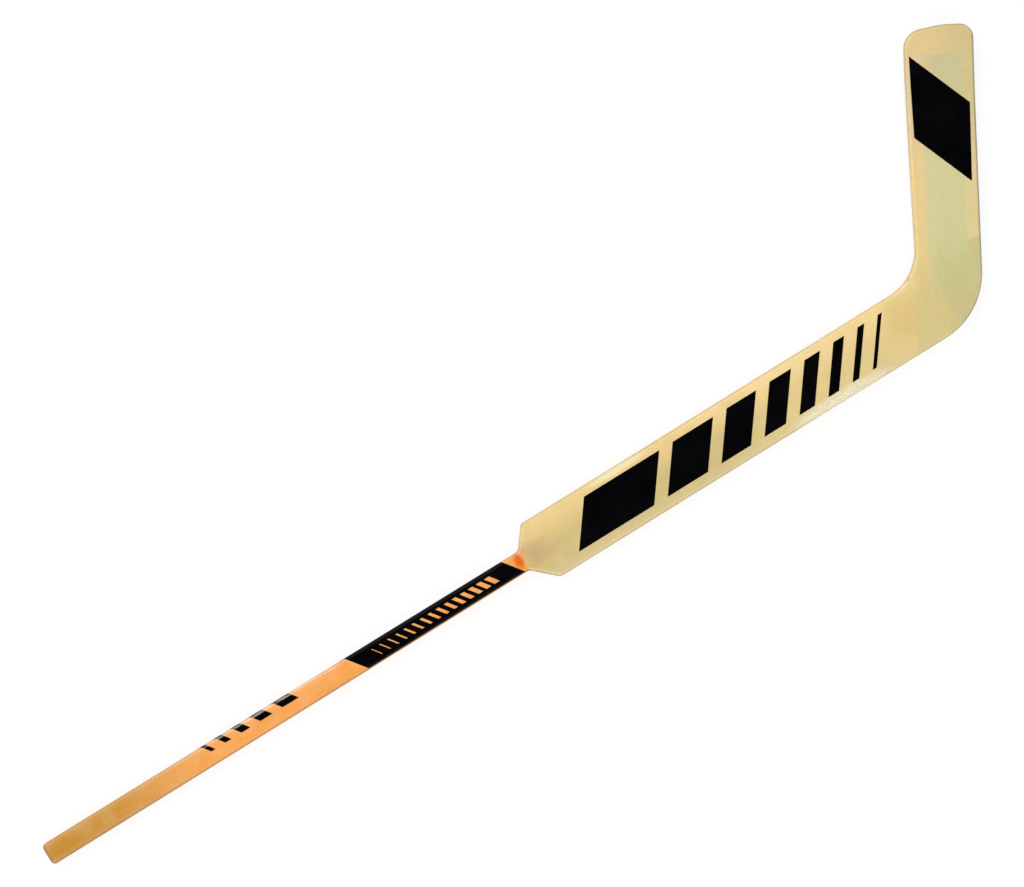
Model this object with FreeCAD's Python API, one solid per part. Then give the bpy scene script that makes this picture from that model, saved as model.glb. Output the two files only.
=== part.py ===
import FreeCAD, Part
import math
import os

from FreeCAD import Vector

# An ice hockey goalie's stick, lying on its back, as the pieces that are glued up to make it.
# The origin is on the flat back of the paddle, halfway along it, on the shaft's centreline.
# X runs along the shaft from the butt to the heel, Z is the front face, and the blade points to +Y.

# Shaft, millimetres
SHAFT_LENGTH = 709.0
SHAFT_BUTT_WIDTH = 29.5
SHAFT_WIDTH = 28.0
STICK_THICKNESS = 20.0
EDGE_RADIUS = 5.0
BUTT_CORNER_RADIUS = 6.0
OUTER_PLY = 3.0
CENTRE_PLY = 2.0
TENON_LENGTH = 36.0
TENON_STEP = 2.0

# Paddle, from the shoulders to the heel corner
PADDLE_LENGTH = 660.0
PADDLE_WIDTH = 83.5
UPPER_SHOULDER_RUN = 21.5
LOWER_SHOULDER_RUN = 30.0
SHOULDER_CORNER_RADIUS = 6.0
NECK_RADIUS = 8.0
SHOULDER_BLOCK_LENGTH = 70.0
EDGE_STRIP_WIDTH = 10.0

# Blade, from the heel corner along its bottom edge to the toe
LIE_ANGLE = 60.6
BLADE_LENGTH = 370.0
BLADE_HEEL_WIDTH = 82.0
BLADE_TOE_WIDTH = 88.7
LEVEL_TOP_LENGTH = 20.0
FLARE_END_RADIUS = 400.0
HEEL_OUTER_RADIUS = 98.0
HEEL_INNER_RADIUS = 68.0
BLADE_FLAT_LENGTH = 112.0
FRONT_BEND_LENGTH = 86.0
TOE_TILT = 6.0
TOE_RAKE = 9.0
TOE_CROWN_PLACE = 40.0
TOE_CROWN_RADIUS = 120.0
TOE_BOTTOM_RADIUS = 17.0
TOE_TOP_RADIUS = 25.0
HEEL_BLOCK_LENGTH = 37.0
TOE_BLOCK_LENGTH = 41.5
BOTTOM_STRIP_WIDTH = 15.0
TOP_STRIP_WIDTH = 20.0

# Glass-fibre facings
SKIN_THICKNESS = 0.8
PATCH_THICKNESS = 0.5
PATCH_LENGTH = 98.0
PATCH_LAP = 30.0

# Limits on the rounding of edges: its share of the thickness, and how near an edge lies to the outline
ROUND_SHARE = 0.45
ON_OUTLINE = 0.05

# Places that follow from the sizes
X_SHOULDER = -PADDLE_LENGTH / 2
X_HEEL = PADDLE_LENGTH / 2
X_BUTT = X_SHOULDER - SHAFT_LENGTH
X_BLOCK_END = X_SHOULDER + SHOULDER_BLOCK_LENGTH
HALF_SHAFT = SHAFT_WIDTH / 2
HALF_PADDLE = PADDLE_WIDTH / 2
Y_STRIP = HALF_PADDLE - EDGE_STRIP_WIDTH
CORE_PLY = (STICK_THICKNESS - 2 * OUTER_PLY - CENTRE_PLY) / 2
REACH = SHAFT_LENGTH + PADDLE_LENGTH + BLADE_LENGTH
LIE_COS = math.cos(math.radians(LIE_ANGLE))
LIE_SIN = math.sin(math.radians(LIE_ANGLE))
TOE_START = BLADE_LENGTH - TOE_BLOCK_LENGTH
FLARE_LENGTH = TOE_START - LEVEL_TOP_LENGTH
FLARE = (BLADE_TOE_WIDTH - BLADE_HEEL_WIDTH) / FLARE_LENGTH

# The blade's bend: back and front are parallel again, and straight, at the toe block's joint
TILT = math.radians(TOE_TILT)
FRONT_BEND_END = TOE_START - STICK_THICKNESS * math.sin(TILT)
BACK_RISE = (TOE_START - BLADE_FLAT_LENGTH) * math.tan(TILT / 2)
FRONT_RISE = FRONT_BEND_LENGTH * math.tan(TILT / 2)
BEND_GAP = STICK_THICKNESS + FRONT_RISE - BACK_RISE
TOE_THICKNESS = BEND_GAP * math.cos(TILT) + (TOE_START - FRONT_BEND_END) * math.sin(TILT)
EDGE_ROUND = min(EDGE_RADIUS, ROUND_SHARE * TOE_THICKNESS, ROUND_SHARE * STICK_THICKNESS)
TALL = 4 * STICK_THICKNESS + BLADE_LENGTH * math.sin(TILT)


def blade_point(along, across, height=0.0):
    """Point measured along the blade's bottom edge from the heel corner, and in from that edge."""
    x = X_HEEL + along * LIE_COS - across * LIE_SIN
    y = -HALF_PADDLE + along * LIE_SIN + across * LIE_COS
    return Vector(x, y, height)


def in_toe_frame(shape):
    """Moves a shape that is drawn flat, from the corner of the toe's joint, to the tilted toe."""
    swing = FreeCAD.Rotation(Vector(0, 0, 1), LIE_ANGLE)
    tilt = FreeCAD.Rotation(Vector(0, 1, 0), -TOE_TILT)
    moved = shape.copy()
    moved.Placement = FreeCAD.Placement(blade_point(TOE_START, 0, BACK_RISE), swing * tilt)
    return moved


def top_edge_point(along, inset=0.0):
    """Point on the blade's top edge line, which flares towards the toe, or set in from it."""
    return blade_point(along, BLADE_HEEL_WIDTH + FLARE * along - inset)


def top_edge_at(y):
    """Point where the blade's top edge line, carried on past the heel, is y from the centreline."""
    along = (y + HALF_PADDLE - BLADE_HEEL_WIDTH * LIE_COS) / (LIE_SIN + FLARE * LIE_COS)
    return top_edge_point(along)


def rounded_face(corners):
    """Flat face inside a closed run of corners, each a point and the radius it is rounded to."""
    edges = []
    stops = []
    for index, (corner, radius) in enumerate(corners):
        to_before = (corners[index - 1][0] - corner).normalize()
        to_after = (corners[(index + 1) % len(corners)][0] - corner).normalize()
        half_angle = to_before.getAngle(to_after) / 2
        start = corner + to_before * (radius / math.tan(half_angle))
        end = corner + to_after * (radius / math.tan(half_angle))
        stops.append((start, end))
        if radius > 0:
            inward = (to_before + to_after).normalize()
            middle = corner + inward * (radius / math.sin(half_angle) - radius)
            edges.append(Part.Arc(start, middle, end).toShape())
    for index, (start, _) in enumerate(stops):
        edges.append(Part.LineSegment(stops[index - 1][1], start).toShape())
    return Part.Face(Part.Wire(Part.__sortEdges__(edges)))


def upright(face):
    """Prism over a region of the plan, standing clear of the stick above and below."""
    lowered = face.copy()
    lowered.translate(Vector(0, 0, -TALL))
    return lowered.extrude(Vector(0, 0, 2 * TALL))


def plan_region(points):
    return upright(Part.Face(Part.makePolygon(points + [points[0]])))


def plan_box(x_low, x_high, y_low, y_high):
    corners = [(x_low, y_low), (x_high, y_low), (x_high, y_high), (x_low, y_high)]
    return plan_region([Vector(x, y, 0) for x, y in corners])


def blade_stretch(along_low, along_high):
    """Plan region across the whole blade between two distances from the heel corner."""
    near = [blade_point(along_low, -REACH), blade_point(along_high, -REACH)]
    far = [blade_point(along_high, REACH), blade_point(along_low, REACH)]
    return plan_region(near + far)


def slab(low, high):
    """Level slice of everything between two heights above the back."""
    return Part.makeBox(2 * REACH, 2 * REACH, high - low, Vector(-REACH, -REACH, low))


def face_profile(base, bend_end, bend_length, shift):
    """Side profile of the back or front, moved by a shift: flat, bent up, then straight to the toe."""
    bend_radius = bend_length / math.sin(TILT)
    radius = bend_radius - shift

    def bent(angle):
        along = bend_end - bend_length + radius * math.sin(angle)
        return blade_point(along, -REACH, base + bend_radius - radius * math.cos(angle))

    onward = blade_point(math.cos(TILT), 0, math.sin(TILT)) - blade_point(0, 0)
    flat = Part.LineSegment(blade_point(-REACH, -REACH, base + shift), bent(0)).toShape()
    bend = Part.Arc(bent(0), bent(TILT / 2), bent(TILT)).toShape()
    straight = Part.LineSegment(bent(TILT), bent(TILT) + onward * TOE_BLOCK_LENGTH * 2).toShape()
    return [flat, bend, straight]


def back_profile(depth):
    return face_profile(0.0, TOE_START, TOE_START - BLADE_FLAT_LENGTH, depth)


def front_profile(depth):
    return face_profile(STICK_THICKNESS, FRONT_BEND_END, FRONT_BEND_LENGTH, -depth)


def lamina(lower, upper):
    """Layer of the whole stick between two side profiles, as wide as the stick is long."""
    start = Part.LineSegment(lower[0].firstVertex().Point, upper[0].firstVertex().Point).toShape()
    end = Part.LineSegment(lower[-1].lastVertex().Point, upper[-1].lastVertex().Point).toShape()
    face = Part.Face(Part.Wire(Part.__sortEdges__(lower + [end] + upper + [start])))
    return face.extrude((blade_point(0, 1) - blade_point(0, 0)) * 2 * REACH)


def round_edges(solid, outline):
    """Round the front and back edges all along the outline of the plan."""
    chosen = []
    for edge in solid.Edges:
        low, high = edge.ParameterRange
        middle = edge.valueAt((low + high) / 2)
        ends = [vertex.Point for vertex in edge.Vertexes]
        vertical = all(math.hypot(end.x - middle.x, end.y - middle.y) < ON_OUTLINE for end in ends)
        on_outline = outline.distToShape(Part.Vertex(middle.x, middle.y, 0))[0] < ON_OUTLINE
        if on_outline and not vertical:
            chosen.append(edge)
    return solid.makeFillet(EDGE_ROUND, chosen)


def main_form():
    """The stick's plan up to past the toe joint, cut to its bent thickness, with its edges rounded."""
    half_butt = SHAFT_BUTT_WIDTH / 2
    outline = rounded_face([
        (Vector(X_BUTT, -half_butt, 0), BUTT_CORNER_RADIUS),
        (Vector(X_SHOULDER, -HALF_SHAFT, 0), NECK_RADIUS),
        (Vector(X_SHOULDER + LOWER_SHOULDER_RUN, -HALF_PADDLE, 0), SHOULDER_CORNER_RADIUS),
        (blade_point(0, 0), HEEL_OUTER_RADIUS),
        (blade_point(BLADE_LENGTH, 0), TOE_BOTTOM_RADIUS),
        (blade_point(BLADE_LENGTH, BLADE_TOE_WIDTH), TOE_BOTTOM_RADIUS),
        (blade_point(FLARE_LENGTH, BLADE_TOE_WIDTH), FLARE_END_RADIUS),
        (top_edge_at(HALF_PADDLE), HEEL_INNER_RADIUS),
        (Vector(X_SHOULDER + UPPER_SHOULDER_RUN, HALF_PADDLE, 0), SHOULDER_CORNER_RADIUS),
        (Vector(X_SHOULDER, HALF_SHAFT, 0), NECK_RADIUS),
        (Vector(X_BUTT, half_butt, 0), BUTT_CORNER_RADIUS),
    ])
    blank = upright(outline).common(lamina(back_profile(0), front_profile(0)))
    return round_edges(blank, outline.OuterWire)


def toe_form():
    """The toe as a flat plate, drawn from the joint both ways, with its edges rounded."""
    outline = rounded_face([
        (Vector(-TOE_BLOCK_LENGTH, 0, 0), TOE_BOTTOM_RADIUS),
        (Vector(TOE_BLOCK_LENGTH, 0, 0), TOE_BOTTOM_RADIUS),
        (Vector(TOE_BLOCK_LENGTH, TOE_CROWN_PLACE, 0), TOE_CROWN_RADIUS),
        (Vector(TOE_BLOCK_LENGTH - TOE_RAKE, BLADE_TOE_WIDTH, 0), TOE_TOP_RADIUS),
        (Vector(-TOE_BLOCK_LENGTH, BLADE_TOE_WIDTH, 0), TOE_BOTTOM_RADIUS),
    ])
    plate = outline.extrude(Vector(0, 0, TOE_THICKNESS))
    return in_toe_frame(round_edges(plate, outline.OuterWire))


def toe_side():
    """Everything past the toe's joint."""
    return in_toe_frame(Part.makeBox(REACH, 2 * REACH, 2 * REACH, Vector(0, -REACH, -REACH)))


def outer_form():
    """The whole stick as one body, rounded along its outline from the butt to the toe."""
    return main_form().cut(toe_side()).fuse(toe_form().common(toe_side())).removeSplitter()


def shaft_side():
    """Plan region of the bare shaft, from past the butt to the shoulders."""
    return plan_box(X_BUTT - SHAFT_WIDTH, X_SHOULDER, -PADDLE_WIDTH, PADDLE_WIDTH)


def paddle_side():
    """Plan region on the paddle's side of its joint with the blade, mitred at the inner corner."""
    corner = top_edge_at(HALF_PADDLE)
    blade_way = (top_edge_point(1) - top_edge_point(0)).normalize()
    mitre_way = (blade_way + Vector(-1, 0, 0)).normalize()
    return plan_region([
        corner - blade_way * REACH,
        corner,
        corner + mitre_way * REACH,
        Vector(-REACH, REACH, 0),
        Vector(-REACH, -REACH, 0),
    ])


def tenon(paddle):
    """End of the shaft's inner plies that reaches past the joint into the heel."""
    x_end = top_edge_at(0).x + TENON_LENGTH
    reach_in = plan_box(X_SHOULDER, x_end, -HALF_SHAFT, HALF_SHAFT).cut(paddle)
    low = OUTER_PLY + TENON_STEP
    return reach_in.common(slab(low, STICK_THICKNESS - low))


def shaft_pieces(filling, tongue):
    """Five long plies from the butt, down through the paddle, the inner three ending in the tenon."""
    spine = plan_box(X_SHOULDER, REACH, -HALF_SHAFT, HALF_SHAFT)
    shaft = filling.common(shaft_side().fuse(spine))
    thicknesses = {
        "shaft_back_ply": OUTER_PLY,
        "shaft_back_core": CORE_PLY,
        "shaft_centre_ply": CENTRE_PLY,
        "shaft_front_core": CORE_PLY,
        "shaft_front_ply": OUTER_PLY,
    }
    pieces = {}
    low = 0.0
    for name, thickness in thicknesses.items():
        layer = slab(low, low + thickness)
        pieces[name] = shaft.common(layer).fuse(tongue.common(layer).Solids).removeSplitter()
        low += thickness
    return pieces


def paddle_pieces(filling):
    """Foam on both sides of the shaft, wood strips along the edges and wood blocks at the shoulders."""
    plans = {
        "upper_shoulder_block": (X_SHOULDER, X_BLOCK_END, HALF_SHAFT, PADDLE_WIDTH),
        "lower_shoulder_block": (X_SHOULDER, X_BLOCK_END, -PADDLE_WIDTH, -HALF_SHAFT),
        "paddle_upper_core": (X_BLOCK_END, REACH, HALF_SHAFT, Y_STRIP),
        "paddle_lower_core": (X_BLOCK_END, REACH, -Y_STRIP, -HALF_SHAFT),
        "paddle_upper_edge_strip": (X_BLOCK_END, REACH, Y_STRIP, REACH),
        "paddle_lower_edge_strip": (X_BLOCK_END, REACH, -REACH, -Y_STRIP),
    }
    return {name: filling.common(plan_box(*plan)) for name, plan in plans.items()}


def blade_pieces(filling):
    """Wood heel and toe blocks, with a foam core between a top strip and a bottom strip."""
    middle = filling.common(blade_stretch(HEEL_BLOCK_LENGTH, REACH)).cut(toe_side())
    bottom = plan_region([
        blade_point(-REACH, -REACH),
        blade_point(REACH, -REACH),
        blade_point(REACH, BOTTOM_STRIP_WIDTH),
        blade_point(-REACH, BOTTOM_STRIP_WIDTH),
    ])
    top = plan_region([
        top_edge_point(-REACH, TOP_STRIP_WIDTH),
        top_edge_point(REACH, TOP_STRIP_WIDTH),
        top_edge_point(REACH, -REACH),
        top_edge_point(-REACH, -REACH),
    ])
    return {
        "heel_block": filling.common(blade_stretch(-REACH, HEEL_BLOCK_LENGTH)),
        "blade_bottom_strip": middle.common(bottom),
        "blade_top_strip": middle.common(top),
        "blade_core": middle.cut(bottom).cut(top),
        "toe_block": filling.common(toe_side()),
    }


def facings(body, paddle):
    """Glass-fibre skins on both faces, and patches let in under them across the heel joint."""
    heel = plan_region([
        blade_point(-REACH, -REACH),
        blade_point(PATCH_LENGTH, -REACH),
        top_edge_point(PATCH_LENGTH, -PATCH_LAP),
        top_edge_point(-REACH, -PATCH_LAP),
    ])
    pieces = {}
    for side, profile in (("front", front_profile), ("back", back_profile)):
        sheet = body.common(lamina(profile(SKIN_THICKNESS), profile(-STICK_THICKNESS))).cut(shaft_side())
        bed = lamina(profile(SKIN_THICKNESS + PATCH_THICKNESS), profile(SKIN_THICKNESS))
        pieces[f"paddle_{side}_skin"] = sheet.common(paddle)
        pieces[f"blade_{side}_skin"] = sheet.cut(paddle)
        pieces[f"heel_{side}_patch"] = body.common(bed).common(heel)
    return pieces


def stick():
    body = outer_form()
    paddle = paddle_side()
    pieces = facings(body, paddle)
    filling = body.cut(list(pieces.values()))
    tongue = tenon(paddle)
    pieces.update(shaft_pieces(filling.common(paddle), tongue))
    pieces.update(paddle_pieces(filling.common(paddle)))
    pieces.update(blade_pieces(filling.cut(paddle).cut(tongue)))
    return pieces


os.makedirs("parts", exist_ok=True)
for name, shape in stick().items():
    print(name, len(shape.Solids), shape.isValid(), round(shape.Volume))
    shape.exportStep(f"parts/{name}.step")
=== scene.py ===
import math

import bmesh
import bpy
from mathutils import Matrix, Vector
from mathutils.bvhtree import BVHTree


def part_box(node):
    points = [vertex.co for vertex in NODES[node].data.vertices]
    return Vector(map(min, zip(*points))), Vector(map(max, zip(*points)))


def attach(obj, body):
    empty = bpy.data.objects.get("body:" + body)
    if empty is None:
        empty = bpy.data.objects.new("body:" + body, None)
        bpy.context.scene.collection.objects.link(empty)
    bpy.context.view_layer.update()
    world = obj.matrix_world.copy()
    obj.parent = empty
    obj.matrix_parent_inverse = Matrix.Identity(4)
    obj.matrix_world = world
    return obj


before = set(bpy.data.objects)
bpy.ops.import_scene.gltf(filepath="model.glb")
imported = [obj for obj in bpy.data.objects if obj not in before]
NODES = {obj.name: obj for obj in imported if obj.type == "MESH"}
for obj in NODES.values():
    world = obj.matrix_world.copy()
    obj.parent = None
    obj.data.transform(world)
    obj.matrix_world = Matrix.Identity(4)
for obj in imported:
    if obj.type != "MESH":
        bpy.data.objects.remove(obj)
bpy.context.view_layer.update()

MM = 0.001
EAST = Vector((1, 0, 0))
NORTH = Vector((0, 1, 0))
UP = Vector((0, 0, 1))

# The stick's own places, in metres, taken from the frame where it shows them
BUTT_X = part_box("shaft_front_ply")[0].x
FRONT_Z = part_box("shaft_front_ply")[1].z
SHOULDER_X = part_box("paddle_front_skin")[0].x
HALF_PADDLE = -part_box("paddle_lower_edge_strip")[0].y
HALF_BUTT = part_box("shaft_front_core")[1].y
HALF_NECK = 14 * MM
EDGE_RADIUS = 5 * MM
LIE_ANGLE = math.radians(60.6)
HEEL = Vector((330 * MM, -HALF_PADDLE, 0))
HEEL_RADIUS = 98 * MM
HEEL_CENTRE_ALONG = HEEL_RADIUS * math.tan(LIE_ANGLE / 2)

# Places on the blade are measured along it from the heel and across it from its bottom edge
BLADE_ALONG = Vector((math.cos(LIE_ANGLE), math.sin(LIE_ANGLE), 0))
BLADE_ACROSS = Vector((-math.sin(LIE_ANGLE), math.cos(LIE_ANGLE), 0))
JOINT_ACROSS = 86 * MM
FOAM_START = 33 * MM
FOAM_END = 331 * MM
FOAM_LOW = 17.5 * MM
FOAM_HIGH = 68 * MM
SCARF_ALONG = 99 * MM
SCARF_SLANT = 0.35
TOE_END = 370 * MM
TOE_CROWN = 40 * MM
TOE_SLANT = 0.185

# Where the shaft's stain, its darker end, its painted shade and its painted highlight change, along the shaft
# and then across it
OCHRE_TO_ORANGE = (-955 * MM, -765 * MM)
BUTT_DARKENS = (BUTT_X + 5.5 * MM, BUTT_X + 1.5 * MM)
# The painted highlight along the shaft's upper edge: faint, broken, and over the ink
FAINT_HIGHLIGHT = (-940 * MM, -800 * MM)
BROKEN_HIGHLIGHT = (-800 * MM, -760 * MM, -610 * MM, -595 * MM)
INK_HIGHLIGHT = (-590 * MM, -600 * MM)
# Painted shade along the shaft's lower edge, across the shaft
LOWER_SHADE = (-10.5 * MM, -13 * MM)
UPPER_RIM = (10.4 * MM, 11.8 * MM, 13.2 * MM, 14.4 * MM)

# How much peachier the shaft's stain gets for each metre towards its upper edge
PEACH_SHIFT = 12

# Where the paddle's colours change, along it and then across it
KHAKI_LIGHTENS = (-60 * MM, 80 * MM)
CREAM_LIGHTENS = (-140 * MM, 30 * MM)
RIM_WEAKENS = (-160 * MM, -60 * MM)
RIM_ENDS = (240 * MM, 180 * MM)
KHAKI_TO_CREAM = (-6 * MM, 40 * MM)
KHAKI_GREYS = (-20 * MM, -38 * MM)
# Where the painted shade along the paddle's upper edge lies, across it
SHADED_RIM = tuple(HALF_PADDLE - depth * MM for depth in (5.0, 3.4, 1.7, 0.5))

# Where the blade's colours change, along it and then across it
HEEL_TO_STRIPS = (12 * MM, 46 * MM)
TOP_LIGHTENS = (15 * MM, 105 * MM)
TOP_DULLS = (195 * MM, 235 * MM)
BOTTOM_DULLS = (180 * MM, 260 * MM)
UNDER_SCARF = (SCARF_ALONG + 3 * MM, SCARF_ALONG + 1.5 * MM)
STRIPS_TO_TOE = (FOAM_END - 8 * MM, FOAM_END + 8 * MM)
GREEN_PALES = (45 * MM, 115 * MM)
GREEN_DULLS = (190 * MM, 320 * MM)
FOAM_ALONG = (FOAM_START - 14 * MM, FOAM_START + 12 * MM, FOAM_END - 1.5 * MM, FOAM_END + 1.5 * MM)
JOINT_BLURS = (2 * MM, 16 * MM)
PADDLE_ENDS = (95 * MM, 55 * MM)
HEEL_WARMS = (24 * MM, 50 * MM)
BOTTOM_TO_TOP = (30 * MM, 60 * MM)
TOE_WARMS = (8 * MM, 72 * MM)
GREEN_WARMS = (46 * MM, 66 * MM)
FOAM_ACROSS = (FOAM_LOW - 1.2 * MM, FOAM_LOW + 1.2 * MM, FOAM_HIGH - 2.5 * MM, FOAM_HIGH + 2.5 * MM)
SHARP_JOINT = (JOINT_ACROSS - 0.6 * MM, JOINT_ACROSS + 0.6 * MM)
BLURRED_JOINT = (JOINT_ACROSS - 14 * MM, JOINT_ACROSS + 18 * MM)

# The height over which what is only on the front fades in
FRONT_ONLY = (FRONT_Z - 4 * MM, FRONT_Z - 1 * MM)

# The painted shade line round the heel, the blade's bottom edge and the toe: how far in it reaches, and its
# ends
TOE_LINE = (TOE_END - 3.5 * MM, TOE_END - 0.5 * MM)
TOE_LINE_DARKENS = (75 * MM, 20 * MM)
BOTTOM_LINE = (4 * MM, 0.4 * MM)
BOTTOM_LINE_STARTS = (-10 * MM, 110 * MM)
HEEL_LINE = (HEEL_RADIUS - 3.5 * MM, HEEL_RADIUS - 0.4 * MM)
HEEL_LINE_STARTS = (285 * MM, 312 * MM)
HEEL_LINE_ENDS = (5 * MM, -3 * MM)

# Soft spots on the shaft and paddle: centre and reach in X and Y, in millimetres
NECK_SPOT = ((-335, 3), (7.5, 13.5))
NECK_SHADE = ((-314, 1), (44, 20))
NECK_BLUSH = ((-330, 3), (15, 17))
JOINT_SHADE = ((246, 8), (42, 42))
# Painted highlights by the paddle's upper and lower edges
UPPER_GLARE = ((-170, 37), (54, 6.5))
LOWER_GLARE = ((120, -37), (88, 13))

# Soft spots on the blade: centre and reach along and across it, in millimetres
HEEL_SHADE = ((24, 30), (24, 22))
RUBBED_SPOT = ((51, 95), (9, 5))
SCRATCHED_SPOT = ((68, 42), (30, 26))

# Where the stain has soaked into the butt: centre and reach, in millimetres, and colour
SOAKED_SPOTS = (
    ((-1013, -2), (38, 18), (201, 140, 44)),
    ((-964, -1), (11, 8), (200, 150, 62)),
    ((-922, -1), (22, 14), (207, 145, 52)),
)

# Colours that several pieces share, as they are seen, 0 to 255
# Dark brown of the painted shade on the shaft's lower edge and of the darker butt end
EDGE_DARK = (148, 122, 84)
DEEP_ORANGE = (232, 106, 0)

# How far the grain, the cloth and the foam's cells rise
GRAIN_DEPTH = 0.025 * MM
CLOTH_DEPTH = 0.03 * MM
CELL_DEPTH = 0.2 * MM

# Printed films: their mesh, and how far what is printed leans
FILM_THICKNESS = 0.1 * MM
FILM_STEP = 3 * MM
ROUND_STEP = 0.8 * MM
FILM_RIM_ANGLE = math.radians(40)
PRINT_LEAN = 0.75

# The panel on the blade: its corners along and across the blade, in millimetres
PANEL_CORNERS = ((330, 82.8), (269.4, 7.3), (169.4, 8.7), (226.9, 79.6))

# The bars on the paddle and on the shaft, with their widths in millimetres
PADDLE_BARS_START = -264 * MM
PADDLE_BAR_WIDTHS = (112, 60, 44, 32, 23, 16, 10, 6)
PADDLE_BAR_GAP = 20 * MM
PADDLE_BAR_SPAN = (-27 * MM, 29 * MM)
SHAFT_BARS_START = -790 * MM
SHAFT_BAR_WIDTHS = (6, 9, 13, 18, 24)
SHAFT_BAR_GAP = 15 * MM
SHAFT_BAR_SPAN = (3 * MM, 24 * MM)

# The band on the shaft, and the slots in it, which get wider towards the paddle
BAND_ENDS = (-577 * MM, -344 * MM)
BAND_SPAN = (-12.9 * MM, 24 * MM)
SLOT_COUNT = 15
SLOTS_START = -548 * MM
SLOT_PITCH = 12 * MM
FIRST_SLOT_WIDTH = 1.2 * MM
SLOT_GROWTH = 0.45 * MM
SLOT_SPAN = (-5.5 * MM, 6.5 * MM)

# Camera: straight above the stick, as the photograph is framed
VIEW_CENTRE = Vector((-264.0 * MM, 134.1 * MM, FRONT_Z))
VIEW_WIDTH = 1295.4 * MM
VIEW_TURN = math.radians(-31.75)
VIEW_DISTANCE = 5.0
SENSOR_WIDTH = 36.0

# Studio: the sky's levels are pairs of a height, 0 to 1, and a brightness
FLOOR_Z = -0.4 * MM
FLOOR_SIZE = 40.0
FLOOR_COLOUR = (0.22, 0.22, 0.22, 1)
FLOOR_GLOW = 0.82
SKY_LEVELS = ((0.0, 0.8), (0.5, 1.05), (0.76, 1.05), (0.92, 0.02))

# Lamps: the sides they stand on, as the photograph is seen, and their power in watts
UPPER_LEFT = Vector((-0.229, 0.973, 0))
BELOW = Vector((-0.346, -0.938, 0))
LAMP_TILT = math.radians(45)
LAMP_DISTANCE = 4.0
LAMP_SIZE = 3.0
KEY_POWER = 52
FILL_POWER = 41


def tone(red, green, blue):
    """A colour written as it is seen, 0 to 255, as the linear RGBA that the shaders take."""
    channels = []
    for value in (red, green, blue):
        share = value / 255
        low = share <= 0.04045
        channels.append(share / 12.92 if low else ((share + 0.055) / 1.055) ** 2.4)
    return (*channels, 1.0)


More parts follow.
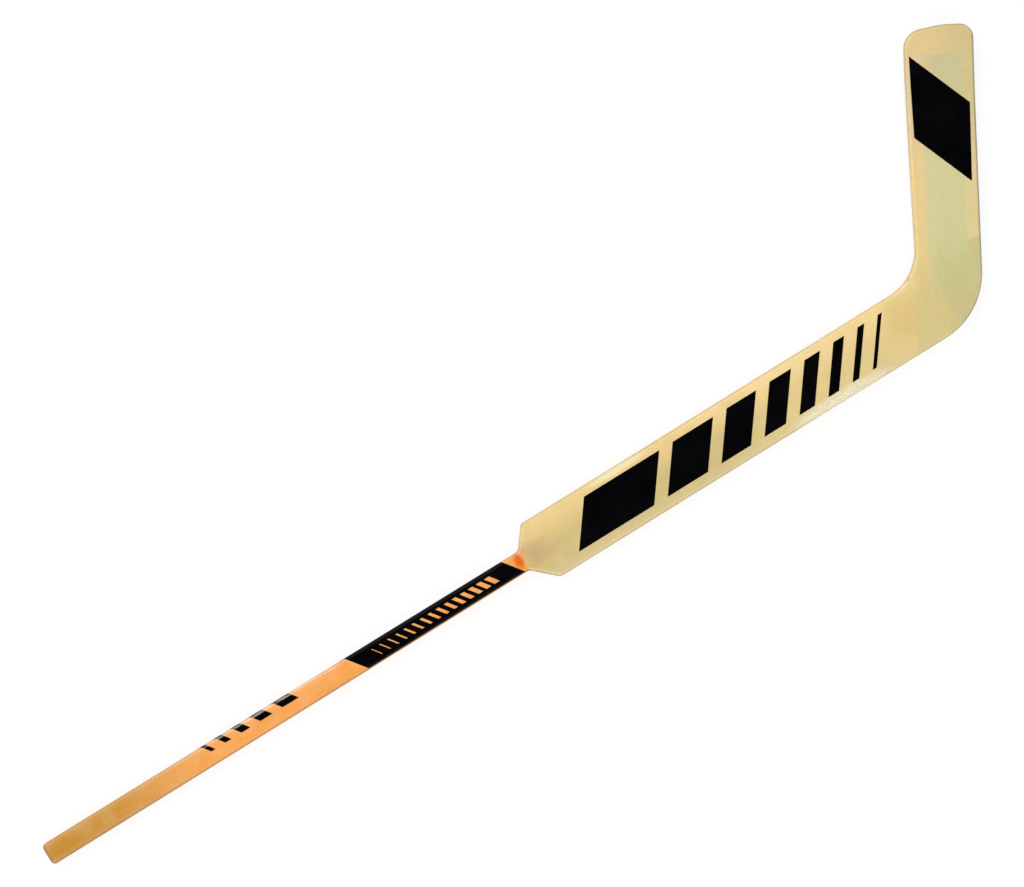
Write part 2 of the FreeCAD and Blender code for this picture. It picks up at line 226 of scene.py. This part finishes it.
class Finish:
    """A material's node tree, with short calls for the nodes that the finishes share.

    A share is a node's output of 0 to 1 that says how much of something is at each place.
    """

    def __init__(self, name):
        self.material = bpy.data.materials.new(name)
        self.material.use_nodes = True
        self.tree = self.material.node_tree
        self.surface = self.tree.nodes["Principled BSDF"]
        self.place = self.node("ShaderNodeTexCoord").outputs["Object"]

    def node(self, kind, **settings):
        """A new node with its settings."""
        made = self.tree.nodes.new(kind)
        for key, value in settings.items():
            setattr(made, key, value)
        return made

    def put(self, value, socket):
        """Sets a socket to a value, or links it to another node's output."""
        if isinstance(value, bpy.types.NodeSocket):
            self.tree.links.new(value, socket)
        else:
            socket.default_value = value

    def set(self, **values):
        """Sets the shader's sockets: coat_weight=0.5 is the socket Coat Weight."""
        for key, value in values.items():
            name = key.replace("_", " ").title().replace("Ior", "IOR")
            self.put(value, self.surface.inputs[name])

    def math(self, operation, *values):
        """The result of one sum, product or other operation."""
        made = self.node("ShaderNodeMath", operation=operation)
        for value, socket in zip(values, made.inputs):
            self.put(value, socket)
        return made.outputs[0]

    def both(self, *shares):
        """The product of several shares."""
        made = shares[0]
        for share in shares[1:]:
            made = self.math("MULTIPLY", made, share)
        return made

    def most(self, *shares):
        """The largest of several shares."""
        made = shares[0]
        for share in shares[1:]:
            made = self.math("MAXIMUM", made, share)
        return made

    def along(self, direction, start=Vector((0, 0, 0))):
        """Distance along a direction from a start point, in metres."""
        made = self.node("ShaderNodeVectorMath", operation="DOT_PRODUCT")
        self.put(self.place, made.inputs[0])
        made.inputs[1].default_value = direction
        return self.math("SUBTRACT", made.outputs["Value"], direction.dot(start))

    def squares(self, first, second):
        """The sum of two values' squares."""
        return self.math("ADD", self.math("MULTIPLY", first, first), self.math("MULTIPLY", second, second))

    def fade(self, value, low, high):
        """0 below low, 1 above high, smooth between; falls instead where low is the larger."""
        made = self.node("ShaderNodeMapRange", interpolation_type="SMOOTHSTEP")
        ends = (low, high, 0.0, 1.0) if low < high else (high, low, 1.0, 0.0)
        self.put(value, made.inputs["Value"])
        for end, socket in zip(ends, ("From Min", "From Max", "To Min", "To Max")):
            made.inputs[socket].default_value = end
        return made.outputs["Result"]

    def between(self, value, rise, full, fall, gone):
        """0 below rise, 1 from full to fall, 0 again above gone, smooth between."""
        return self.both(self.fade(value, rise, full), self.fade(value, gone, fall))

    def patch(self, x, y, centre, reach):
        """A soft oval share: 1 at its centre, falling to 0 at its reach each way, in millimetres."""
        over = self.math("DIVIDE", self.math("SUBTRACT", x, centre[0] * MM), reach[0] * MM)
        up = self.math("DIVIDE", self.math("SUBTRACT", y, centre[1] * MM), reach[1] * MM)
        return self.fade(self.squares(over, up), 1.0, 0.0)

    def spread(self, share, low, high):
        """A share taken to the range from low to high."""
        made = self.node("ShaderNodeMapRange")
        self.put(share, made.inputs["Value"])
        made.inputs["To Min"].default_value = low
        made.inputs["To Max"].default_value = high
        return made.outputs["Result"]

    def turned(self, stretch, turn):
        """The place, turned about Z so that X follows a direction, then stretched."""
        spin = self.node("ShaderNodeVectorRotate", rotation_type="Z_AXIS")
        self.put(self.place, spin.inputs["Vector"])
        spin.inputs["Angle"].default_value = -turn
        made = self.node("ShaderNodeVectorMath", operation="MULTIPLY")
        self.put(spin.outputs["Vector"], made.inputs[0])
        made.inputs[1].default_value = stretch
        return made.outputs["Vector"]

    def noise(self, stretch, detail=3.0, roughness=0.5, turn=0.0, twist=0.0):
        """Noise of 0 to 1. stretch is how many lumps a metre holds, one number or one for each way."""
        made = self.node("ShaderNodeTexNoise")
        each_way = stretch if isinstance(stretch, tuple) else (stretch,) * 3
        self.put(self.turned(each_way, turn), made.inputs["Vector"])
        made.inputs["Scale"].default_value = 1.0
        made.inputs["Detail"].default_value = detail
        made.inputs["Roughness"].default_value = roughness
        made.inputs["Distortion"].default_value = twist
        return made.outputs["Fac"]

    def mix(self, share, first, second, blend="MIX"):
        """The first colour where the share is 0, the second where it is 1."""
        made = self.node("ShaderNodeMix", data_type="RGBA", blend_type=blend)
        factor, start, end = [socket for socket in made.inputs if socket.enabled]
        self.put(share, factor)
        self.put(first, start)
        self.put(second, end)
        return [socket for socket in made.outputs if socket.enabled][0]

    def darken(self, share, colour, red, green, blue):
        """A colour with its channels multiplied by three factors where the share is 1."""
        return self.mix(share, colour, (red, green, blue, 1), "MULTIPLY")

    def bump(self, height, depth):
        """A surface that rises by depth where the height goes from 0 to 1."""
        made = self.node("ShaderNodeBump")
        self.put(height, made.inputs["Height"])
        made.inputs["Distance"].default_value = depth
        return made.outputs["Normal"]


def neck_spot(finish, x, y):
    """A deep orange spot where the shaft meets the paddle."""
    return finish.patch(x, y, *NECK_SPOT)


def butt_darkening(finish, x):
    """Darker at the butt's end."""
    return finish.both(finish.fade(x, *BUTT_DARKENS), 0.6)


def butt_stain(finish, x, y):
    """Ochre, with deeper spots where the stain has soaked in."""
    blotches = finish.fade(finish.noise(42, 1.0), 0.36, 0.66)
    ochre = finish.mix(blotches, tone(210, 161, 90), tone(205, 151, 70))
    uneven = finish.spread(finish.noise(70, 1.0), 0.5, 1.1)
    for centre, reach, colour in SOAKED_SPOTS:
        soaked = finish.both(finish.patch(x, y, centre, reach), uneven)
        ochre = finish.mix(soaked, ochre, tone(*colour))
    return ochre


def edge_highlight(finish, x, y):
    """A painted highlight along the shaft's upper edge: faint past the butt, and in broken lines by the bars.
    """
    lines = finish.fade(finish.noise((70, 500, 500), 2.0), 0.42, 0.58)
    broken = finish.both(finish.between(x, *BROKEN_HIGHLIGHT), lines, 0.6)
    lightly = finish.spread(finish.fade(x, *FAINT_HIGHLIGHT), 0.05, 0.2)
    return finish.both(finish.between(y, *UPPER_RIM), finish.math("ADD", broken, lightly))


def shaft_stain(finish):
    """Blotchy ochre at the butt, turning orange towards the paddle, darkest where it goes under the skin."""
    x = finish.along(EAST)
    y = finish.along(NORTH)
    blotches = finish.math("ADD", finish.noise(48, 1.0), finish.math("MULTIPLY", y, PEACH_SHIFT))
    orange = finish.mix(finish.fade(blotches, 0.32, 0.68), tone(245, 165, 82), tone(248, 172, 101))
    stain = finish.mix(finish.fade(x, *OCHRE_TO_ORANGE), butt_stain(finish, x, y), orange)
    # Painted shade along the lower edge, and darker at the butt's end
    darkening = finish.most(finish.both(finish.fade(y, *LOWER_SHADE), 0.5), butt_darkening(finish, x))
    stain = finish.mix(darkening, stain, tone(*EDGE_DARK))
    # Painted highlight along the shaft's upper edge
    stain = finish.mix(edge_highlight(finish, x, y), stain, tone(255, 236, 200))
    return finish.mix(neck_spot(finish, x, y), stain, tone(*DEEP_ORANGE))


def ply_stain(colour):
    """A stain of one colour, darker at the butt's end, for the plies that show only at the shaft's edges."""
    def stain(finish):
        return finish.mix(butt_darkening(finish, finish.along(EAST)), colour, tone(*EDGE_DARK))

    return stain


def paddle_tint(finish, x, y):
    """Khaki along the lower side, warm cream along the upper edge, both lighter towards the heel."""
    khaki = finish.mix(finish.fade(x, *KHAKI_LIGHTENS), tone(209, 187, 127), tone(229, 203, 141))
    cream = finish.mix(finish.fade(x, *CREAM_LIGHTENS), tone(242, 208, 143), tone(249, 218, 156))
    tint = finish.mix(finish.fade(y, *KHAKI_TO_CREAM), khaki, cream)
    greyer = finish.both(finish.fade(y, *KHAKI_GREYS), 0.45)
    tint = finish.mix(greyer, tint, tone(220, 202, 158))
    tint = finish.mix(finish.patch(x, y, *NECK_SHADE), tint, tone(201, 170, 120))
    by_neck = finish.both(finish.patch(x, y, *NECK_BLUSH), 0.6)
    tint = finish.mix(by_neck, tint, tone(232, 172, 116))
    by_joint = finish.both(finish.patch(x, y, *JOINT_SHADE), 0.8)
    return finish.mix(by_joint, tint, tone(226, 194, 126))


def heel_tint(finish, along, across):
    """Olive, darker at the lower corner."""
    olive = finish.mix(finish.fade(across, *HEEL_WARMS), tone(204, 191, 135), tone(217, 198, 136))
    return finish.mix(finish.patch(along, across, *HEEL_SHADE), olive, tone(204, 190, 138))


def top_strip_tint(finish, along):
    """Wood in faint layers, olive by the heel and duller beside the printed panel."""
    strip = finish.mix(finish.fade(along, *TOP_LIGHTENS), tone(217, 195, 128), tone(236, 209, 148))
    layers = finish.fade(finish.noise((5, 220, 220), 2.0, 0.5, LIE_ANGLE), 0.45, 0.65)
    strip = finish.mix(finish.both(layers, 0.6), strip, tone(239, 201, 134))
    return finish.mix(finish.fade(along, *TOP_DULLS), strip, tone(228, 201, 154))


def bottom_strip_tint(finish, along, across):
    """Wood, duller towards the toe and olive on the heel's side of the slanted scarf."""
    strip = finish.mix(finish.fade(along, *BOTTOM_DULLS), tone(229, 206, 153), tone(214, 197, 142))
    slanted = finish.math("ADD", along, finish.math("MULTIPLY", across, SCARF_SLANT))
    return finish.mix(finish.fade(slanted, *UNDER_SCARF), strip, tone(207, 195, 138))


def toe_tint(finish, across):
    """Wood, warmer towards the top edge."""
    return finish.mix(finish.fade(across, *TOE_WARMS), tone(215, 194, 139), tone(231, 202, 144))


def foam_tint(finish, along, across):
    """The foam's green: deepest at the heel end, warmer along its upper side."""
    green = finish.mix(finish.fade(along, *GREEN_PALES), tone(200, 195, 135), tone(213, 207, 154))
    green = finish.mix(finish.fade(along, *GREEN_DULLS), green, tone(206, 197, 148))
    return finish.mix(finish.both(finish.fade(across, *GREEN_WARMS), 0.55), green, tone(222, 207, 153))


def blade_tint(finish, along, across):
    """Olive at the heel, wood along both edges and at the toe, green over the foam panel."""
    bottom = bottom_strip_tint(finish, along, across)
    strips = finish.mix(finish.fade(across, *BOTTOM_TO_TOP), bottom, top_strip_tint(finish, along))
    strips = finish.mix(finish.fade(along, *STRIPS_TO_TOE), strips, toe_tint(finish, across))
    tint = finish.mix(finish.fade(along, *HEEL_TO_STRIPS), heel_tint(finish, along, across), strips)
    over_foam = finish.both(finish.between(across, *FOAM_ACROSS), finish.between(along, *FOAM_ALONG))
    return finish.mix(over_foam, tint, foam_tint(finish, along, across))


def heel_wear(finish, along, across, tint):
    """A rubbed spot in the inner corner of the heel, and fine pale scratches along the blade there."""
    rubbed = finish.both(
        finish.patch(along, across, *RUBBED_SPOT),
        finish.fade(finish.noise(330, 2.0), 0.42, 0.58),
        finish.fade(finish.along(UP), *FRONT_ONLY),
        0.6,
    )
    tint = finish.mix(rubbed, tint, tone(176, 146, 84))
    scratched = finish.both(
        finish.patch(along, across, *SCRATCHED_SPOT),
        finish.fade(finish.noise((50, 620, 620), 1.0, 0.5, LIE_ANGLE), 0.58, 0.70),
        0.4,
    )
    return finish.mix(scratched, tint, tone(234, 224, 178))


def toe_shade_line(finish, along, across):
    """The painted shade line at the toe's end, which slants back past its crown. It is fainter at the top
    corner.
    """
    past_crown = finish.math("MAXIMUM", finish.math("SUBTRACT", across, TOE_CROWN), 0.0)
    reach = finish.math("ADD", along, finish.math("MULTIPLY", past_crown, TOE_SLANT))
    strength = finish.spread(finish.fade(across, *TOE_LINE_DARKENS), 0.6, 1.0)
    return finish.both(finish.fade(reach, *TOE_LINE), strength)


def bottom_shade_line(finish, along, across):
    """The painted shade line on the blade's bottom edge."""
    return finish.both(finish.fade(across, *BOTTOM_LINE), finish.fade(along, *BOTTOM_LINE_STARTS))


def heel_shade_line(finish, x, along, across):
    """The painted shade line round the heel's corner."""
    over = finish.math("SUBTRACT", along, HEEL_CENTRE_ALONG)
    up = finish.math("SUBTRACT", across, HEEL_RADIUS)
    outward = finish.math("SQRT", finish.squares(over, up))
    return finish.both(
        finish.fade(outward, *HEEL_LINE),
        finish.fade(over, *HEEL_LINE_ENDS),
        finish.fade(x, *HEEL_LINE_STARTS),
        0.55,
    )


def glint_flecks(finish, x, y):
    """Painted glints: white flecks by the paddle's lower edge."""
    return finish.both(finish.patch(x, y, *LOWER_GLARE), finish.fade(finish.noise(560, 2.0), 0.49, 0.60))


def painted_glare(finish, x, y, tint):
    """Painted highlights along two stretches of the paddle's edges, with painted glints by the lower one."""
    upper = finish.both(finish.patch(x, y, *UPPER_GLARE), 0.85)
    tint = finish.mix(upper, tint, tone(247, 235, 188))
    lower = finish.both(finish.patch(x, y, *LOWER_GLARE), 0.6)
    tint = finish.mix(lower, tint, tone(236, 226, 192))
    return finish.mix(finish.both(glint_flecks(finish, x, y), 0.8), tint, tone(255, 251, 232))


def rim_shade(finish, x, y):
    """Painted shade: a darker line along the paddle's upper edge."""
    strength = finish.spread(finish.fade(x, *RIM_WEAKENS), 0.6, 0.3)
    return finish.both(finish.between(y, *SHADED_RIM), finish.fade(x, *RIM_ENDS), strength)


def paddle_share(finish, along, across):
    """What is paddle and not blade: a sharp change at the heel joint, blurred away from the bottom edge."""
    sharp = finish.fade(across, *SHARP_JOINT)
    blurred = finish.fade(across, *BLURRED_JOINT)
    softer = finish.both(finish.math("SUBTRACT", blurred, sharp), finish.fade(along, *JOINT_BLURS))
    return finish.both(finish.math("ADD", sharp, softer), finish.fade(along, *PADDLE_ENDS))


def body_tint(finish):
    """What shows through the clear skin of paddle and blade, and on the wood at their edges, with painted
    shade along some edges and painted highlights and glints by the paddle's edges.
    """
    x = finish.along(EAST)
    y = finish.along(NORTH)
    along = finish.along(BLADE_ALONG, HEEL)
    across = finish.along(BLADE_ACROSS, HEEL)
    on_paddle = paddle_share(finish, along, across)
    tint = finish.mix(on_paddle, blade_tint(finish, along, across), paddle_tint(finish, x, y))
    warm = finish.both(finish.fade(finish.noise(40, 1.0), 0.42, 0.80), on_paddle, 0.30)
    tint = finish.mix(warm, tint, tone(240, 202, 134))
    cool = finish.both(finish.fade(finish.noise(50, 1.0), 0.42, 0.80), 0.35)
    tint = finish.mix(cool, tint, tone(208, 200, 136))
    tint = heel_wear(finish, along, across, tint)
    # Painted shade along the toe, the blade's bottom edge and round the heel
    line = finish.most(
        toe_shade_line(finish, along, across),
        bottom_shade_line(finish, along, across),
        heel_shade_line(finish, x, along, across),
    )
    tint = finish.mix(finish.both(line, 0.6), tint, tone(84, 80, 66))
    # Painted highlights and glints by the paddle's edges
    tint = painted_glare(finish, x, y, tint)
    # Painted shade along the paddle's upper edge
    tint = finish.darken(rim_shade(finish, x, y), tint, 0.80, 0.84, 0.86)
    return finish.mix(neck_spot(finish, x, y), tint, tone(*DEEP_ORANGE))


def wood(name, colour, turn=0.0):
    """Varnished wood with its grain along a direction. colour(finish) gives the stain."""
    finish = Finish(name)
    streaks = finish.noise((9, 420, 420), 4.0, 0.6, turn)
    figure = finish.noise((5, 70, 70), 3.0, 0.5, turn, 0.4)
    pores = finish.noise((60, 2600, 2600), 2.0, 0.5, turn)
    stain = colour(finish)
    stain = finish.darken(finish.fade(figure, 0.35, 0.75), stain, 0.92, 0.88, 0.80)
    stain = finish.darken(finish.spread(streaks, -0.1, 0.4), stain, 0.88, 0.80, 0.68)
    stain = finish.darken(finish.fade(pores, 0.62, 0.75), stain, 0.84, 0.74, 0.60)
    finish.set(
        base_color=stain,
        roughness=finish.spread(figure, 0.36, 0.52),
        specular_ior_level=0.25,
        coat_weight=0.3,
        coat_roughness=0.22,
        normal=finish.bump(streaks, GRAIN_DEPTH),
    )
    return finish.material


def cloth_height(finish, turn):
    """The glass cloth under the resin: ripples a few millimetres long and two sets of threads."""
    ripples = finish.noise(190, 1.0, 0.5, turn)
    warp = finish.noise((90, 420, 90), 1.0, 0.5, turn)
    weft = finish.noise((420, 90, 90), 1.0, 0.5, turn)
    threads = finish.math("MULTIPLY", finish.math("ADD", warp, weft), 0.3)
    return finish.math("ADD", ripples, threads)


def skin(name, turn):
    """Clear resin over glass cloth, with the wood's and the foam's colours showing through."""
    finish = Finish(name)
    surface = finish.bump(cloth_height(finish, turn), CLOTH_DEPTH)
    specks = finish.noise(620, 2.0, 0.6)
    clouds = finish.noise(120, 2.0, 0.6)
    tint = finish.darken(finish.fade(clouds, 0.40, 0.70), body_tint(finish), 0.97, 0.98, 0.94)
    tint = finish.darken(finish.fade(specks, 0.60, 0.72), tint, 0.94, 0.93, 0.90)
    finish.set(
        base_color=tint,
        roughness=finish.spread(specks, 0.34, 0.50),
        coat_weight=0.8,
        coat_roughness=0.04,
        normal=surface,
        coat_normal=surface,
    )
    return finish.material


def print_black():
    """Black ink over the cloth, whose texture shows faintly, with painted glints, and a painted highlight
    along the upper edge of the shaft's bars.
    """
    finish = Finish("black_print")
    x = finish.along(EAST)
    y = finish.along(NORTH)
    clouds = finish.noise(30)
    ink = finish.mix(finish.fade(clouds, 0.3, 0.7), tone(4, 4, 6), tone(8, 8, 10))
    # Painted glints on the ink by the paddle's lower edge
    ink = finish.mix(finish.both(glint_flecks(finish, x, y), 0.3), ink, tone(196, 204, 198))
    # Painted highlight along the upper edge of the shaft's bars
    highlit = finish.both(edge_highlight(finish, x, y), finish.fade(x, *INK_HIGHLIGHT), 0.6)
    ink = finish.mix(highlit, ink, tone(236, 222, 196))
    finish.set(
        base_color=ink,
        roughness=finish.spread(clouds, 0.18, 0.26),
        specular_ior_level=0.06,
        normal=finish.bump(cloth_height(finish, 0.0), CLOTH_DEPTH),
    )
    return finish.material


def foam(name):
    """Rigid yellow-green foam with fine cells."""
    finish = Finish(name)
    cells = finish.noise(900, 2.0)
    finish.set(
        base_color=finish.mix(cells, tone(206, 203, 150), tone(222, 218, 172)),
        roughness=0.9,
        normal=finish.bump(cells, CELL_DEPTH),
    )
    return finish.material


def dress(material, *names):
    """Gives CAD nodes their finish."""
    for name in names:
        NODES[name].data.materials.clear()
        NODES[name].data.materials.append(material)


def dress_stick():
    """Gives every CAD node its finish."""
    dress(wood("shaft_face_wood", shaft_stain), "shaft_front_ply", "shaft_back_ply")
    dress(wood("shaft_core_wood", ply_stain(tone(240, 184, 112))), "shaft_front_core", "shaft_back_core")
    dress(wood("shaft_centre_wood", ply_stain(tone(176, 110, 48))), "shaft_centre_ply")
    paddle_wood = wood("paddle_wood", body_tint)
    dress(paddle_wood, "paddle_upper_edge_strip", "paddle_lower_edge_strip")
    dress(paddle_wood, "upper_shoulder_block", "lower_shoulder_block")
    blade_wood = wood("blade_wood", body_tint, LIE_ANGLE)
    dress(blade_wood, "blade_top_strip", "blade_bottom_strip", "heel_block", "toe_block")
    dress(skin("paddle_skin", 0.0), "paddle_front_skin", "paddle_back_skin")
    blade_skin = skin("blade_skin", LIE_ANGLE)
    dress(blade_skin, "blade_front_skin", "blade_back_skin", "heel_front_patch", "heel_back_patch")
    dress(foam("foam"), "paddle_upper_core", "paddle_lower_core", "blade_core")


def closed_sheet(rows, window=None):
    """A thin closed sheet over a grid of points with their outward normals. window(row, column) is true
    for the grid's cells that are left open."""
    cells = [(i, j) for i in range(len(rows) - 1) for j in range(len(rows[0]) - 1)]
    filled = {cell for cell in cells if not (window and window(*cell))}
    mesh = bmesh.new()
    corners = {}

    def corner(i, j, top):
        if (i, j, top) not in corners:
            point, normal = rows[i][j]
            corners[i, j, top] = mesh.verts.new(point + normal * (FILM_THICKNESS if top else 0))
        return corners[i, j, top]

    for i, j in sorted(filled):
        ring = [(i, j), (i + 1, j), (i + 1, j + 1), (i, j + 1)]
        beside = [(i, j - 1), (i + 1, j), (i, j + 1), (i - 1, j)]
        mesh.faces.new([corner(*spot, True) for spot in ring])
        mesh.faces.new([corner(*spot, False) for spot in reversed(ring)])
        for start, end, neighbour in zip(ring, ring[1:] + ring[:1], beside):
            if neighbour not in filled:
                side = [(*start, False), (*end, False), (*end, True), (*start, True)]
                mesh.faces.new([corner(*spot) for spot in side])
    bmesh.ops.recalc_face_normals(mesh, faces=mesh.faces)
    return mesh


def film(name, rows, material, window=None):
    """A printed film: a closed sheet with smooth faces and sharp rims."""
    mesh = closed_sheet(rows, window)
    for face in mesh.faces:
        face.smooth = True
    for edge in mesh.edges:
        edge.smooth = edge.calc_face_angle() < FILM_RIM_ANGLE
    data = bpy.data.meshes.new(name)
    mesh.to_mesh(data)
    mesh.free()
    made = bpy.data.objects.new(name, data)
    bpy.context.scene.collection.objects.link(made)
    made.data.materials.append(material)
    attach(made, "root")


def spaced(stops, step):
    """The stops, with points between them no further apart than a step."""
    values = [stops[0]]
    for start, end in zip(stops, stops[1:]):
        count = max(1, math.ceil((end - start) / step))
        values += [start + (end - start) * k / count for k in range(1, count + 1)]
    return values


def shaft_surface(x, around):
    """A point of the shaft's surface and its normal. around is measured over it from the front's middle."""
    share = (x - BUTT_X) / (SHOULDER_X - BUTT_X)
    flat = HALF_BUTT + (HALF_NECK - HALF_BUTT) * share - EDGE_RADIUS
    side = math.copysign(1, around)
    past = max(0.0, abs(around) - flat)
    turn = min(past / EDGE_RADIUS, math.pi / 2)
    normal = Vector((0, side * math.sin(turn), math.cos(turn)))
    point = Vector((x, side * min(abs(around), flat), FRONT_Z - EDGE_RADIUS)) + normal * EDGE_RADIUS
    return point - UP * max(0.0, past - EDGE_RADIUS * math.pi / 2), normal


def shaft_film(name, ends, span, material, slots=(), slot_span=()):
    """A slanted film on the shaft and over its edge, with slanted slots left open in it."""
    down = spaced(sorted([*ends, *(edge for slot in slots for edge in slot)]), FILM_STEP)
    across = spaced(sorted([*span, *slot_span]), ROUND_STEP)
    rows = [[shaft_surface(x - PRINT_LEAN * around, around) for around in across] for x in down]

    def in_slot(i, j):
        x = (down[i] + down[i + 1]) / 2
        around = (across[j] + across[j + 1]) / 2
        low, high = slot_span
        return low < around < high and any(left < x < right for left, right in slots)

    film(name, rows, material, in_slot if slots else None)


def paddle_bar(name, ends, span, material):
    """A slanted bar on the paddle's flat front."""
    rows = []
    for x in spaced(ends, FILM_STEP):
        places = [Vector((x + PRINT_LEAN * (y - span[0]), y, FRONT_Z)) for y in spaced(span, FILM_STEP)]
        rows.append([(place, UP) for place in places])
    film(name, rows, material)


def blade_film(name, corners, material):
    """A four-sided film on the blade's bent front, laid on the CAD skin from above."""
    mesh = NODES["blade_front_skin"].data
    tree = BVHTree.FromPolygons([v.co for v in mesh.vertices], [p.vertices[:] for p in mesh.polygons])
    places = [HEEL + BLADE_ALONG * (along * MM) + BLADE_ACROSS * (across * MM) for along, across in corners]
    first, second, third, fourth = places
    tall = math.ceil((second - first).length / FILM_STEP)
    wide = math.ceil((fourth - first).length / FILM_STEP)
    rows = []
    for i in range(tall + 1):
        left = first.lerp(second, i / tall)
        right = fourth.lerp(third, i / tall)
        spots = [left.lerp(right, j / wide) for j in range(wide + 1)]
        rows.append([tree.ray_cast(spot + UP, -UP)[:2] for spot in spots])
    film(name, rows, material)


def bar_ends(start, widths, gap):
    """Both ends of each bar in a row of bars, with the same gap between them."""
    ends = []
    for width in widths:
        ends.append((start, start + width * MM))
        start += width * MM + gap
    return ends


def band_slots():
    """Both ends of each slot in the band."""
    starts = [SLOTS_START + SLOT_PITCH * number for number in range(SLOT_COUNT)]
    return [(start, start + FIRST_SLOT_WIDTH + SLOT_GROWTH * number) for number, start in enumerate(starts)]


def prints():
    """The black printed areas: a panel on the blade, bars on paddle and shaft, and a band with slots."""
    black = print_black()
    blade_film("blade_panel_print", PANEL_CORNERS, black)
    paddle_bars = bar_ends(PADDLE_BARS_START, PADDLE_BAR_WIDTHS, PADDLE_BAR_GAP)
    for number, ends in enumerate(paddle_bars, 1):
        paddle_bar(f"paddle_bar_{number}", ends, PADDLE_BAR_SPAN, black)
    shaft_film("shaft_band_print", BAND_ENDS, BAND_SPAN, black, band_slots(), SLOT_SPAN)
    shaft_bars = bar_ends(SHAFT_BARS_START, SHAFT_BAR_WIDTHS, SHAFT_BAR_GAP)
    for number, ends in enumerate(shaft_bars, 1):
        shaft_film(f"shaft_bar_{number}", ends, SHAFT_BAR_SPAN, black)


def camera():
    """Looks straight down, turned so that the stick lies across the picture as in the photograph."""
    lens = bpy.data.cameras.new("camera")
    lens.sensor_fit = "HORIZONTAL"
    lens.sensor_width = SENSOR_WIDTH
    lens.lens = SENSOR_WIDTH * VIEW_DISTANCE / VIEW_WIDTH
    made = bpy.data.objects.new("camera", lens)
    made.location = VIEW_CENTRE + UP * VIEW_DISTANCE
    made.rotation_euler = (0, 0, VIEW_TURN)
    bpy.context.scene.collection.objects.link(made)
    bpy.context.scene.camera = made


def floor():
    """A white floor that keeps the stick's shadow. Some of its white is seen without lighting anything."""
    bpy.ops.mesh.primitive_plane_add(size=FLOOR_SIZE, location=(0, 0, FLOOR_Z))
    made = bpy.context.active_object
    made.name = "floor"
    finish = Finish("floor")
    rays = finish.node("ShaderNodeLightPath").outputs
    seen = finish.most(rays["Is Camera Ray"], rays["Is Glossy Ray"], rays["Is Transmission Ray"])
    finish.set(
        base_color=FLOOR_COLOUR,
        roughness=0.9,
        specular_ior_level=0.0,
        emission_color=(1, 1, 1, 1),
        emission_strength=finish.math("MULTIPLY", seen, FLOOR_GLOW),
    )
    made.data.materials.append(finish.material)


def lamp(name, place, aim, power):
    """A large soft lamp that looks at a point."""
    light = bpy.data.lights.new(name, "AREA")
    light.shape = "SQUARE"
    light.size = LAMP_SIZE
    light.energy = power
    made = bpy.data.objects.new(name, light)
    made.location = place
    made.rotation_euler = (aim - place).to_track_quat("-Z", "Y").to_euler()
    bpy.context.scene.collection.objects.link(made)


def surroundings():
    """A pale band of light all round, dimmer below and dark above, so gloss that faces up stays dark."""
    world = bpy.data.worlds.new("studio")
    bpy.context.scene.world = world
    world.use_nodes = True
    tree = world.node_tree
    place = tree.nodes.new("ShaderNodeTexCoord")
    split = tree.nodes.new("ShaderNodeSeparateXYZ")
    ramp = tree.nodes.new("ShaderNodeValToRGB")
    bands = ramp.color_ramp
    bands.interpolation = "EASE"
    while len(bands.elements) < len(SKY_LEVELS):
        bands.elements.new(0.5)
    brightest = max(level for height, level in SKY_LEVELS)
    for element, (height, level) in zip(bands.elements, SKY_LEVELS):
        element.position = height
        element.color = (*[level / brightest] * 3, 1)
    surround = tree.nodes["Background"]
    surround.inputs["Strength"].default_value = brightest
    tree.links.new(place.outputs["Generated"], split.inputs[0])
    tree.links.new(split.outputs["Z"], ramp.inputs["Fac"])
    tree.links.new(ramp.outputs["Color"], surround.inputs["Color"])


def lights():
    """The surroundings and two large soft lamps, the brighter one from the photograph's upper left."""
    surroundings()
    for name, side, power in (("key", UPPER_LEFT, KEY_POWER), ("fill", BELOW, FILL_POWER)):
        toward = side * math.sin(LAMP_TILT) + UP * math.cos(LAMP_TILT)
        lamp(name, VIEW_CENTRE + toward * LAMP_DISTANCE, VIEW_CENTRE, power)


dress_stick()
prints()
floor()
lights()
camera()
bpy.context.scene.view_settings.view_transform = "Standard"
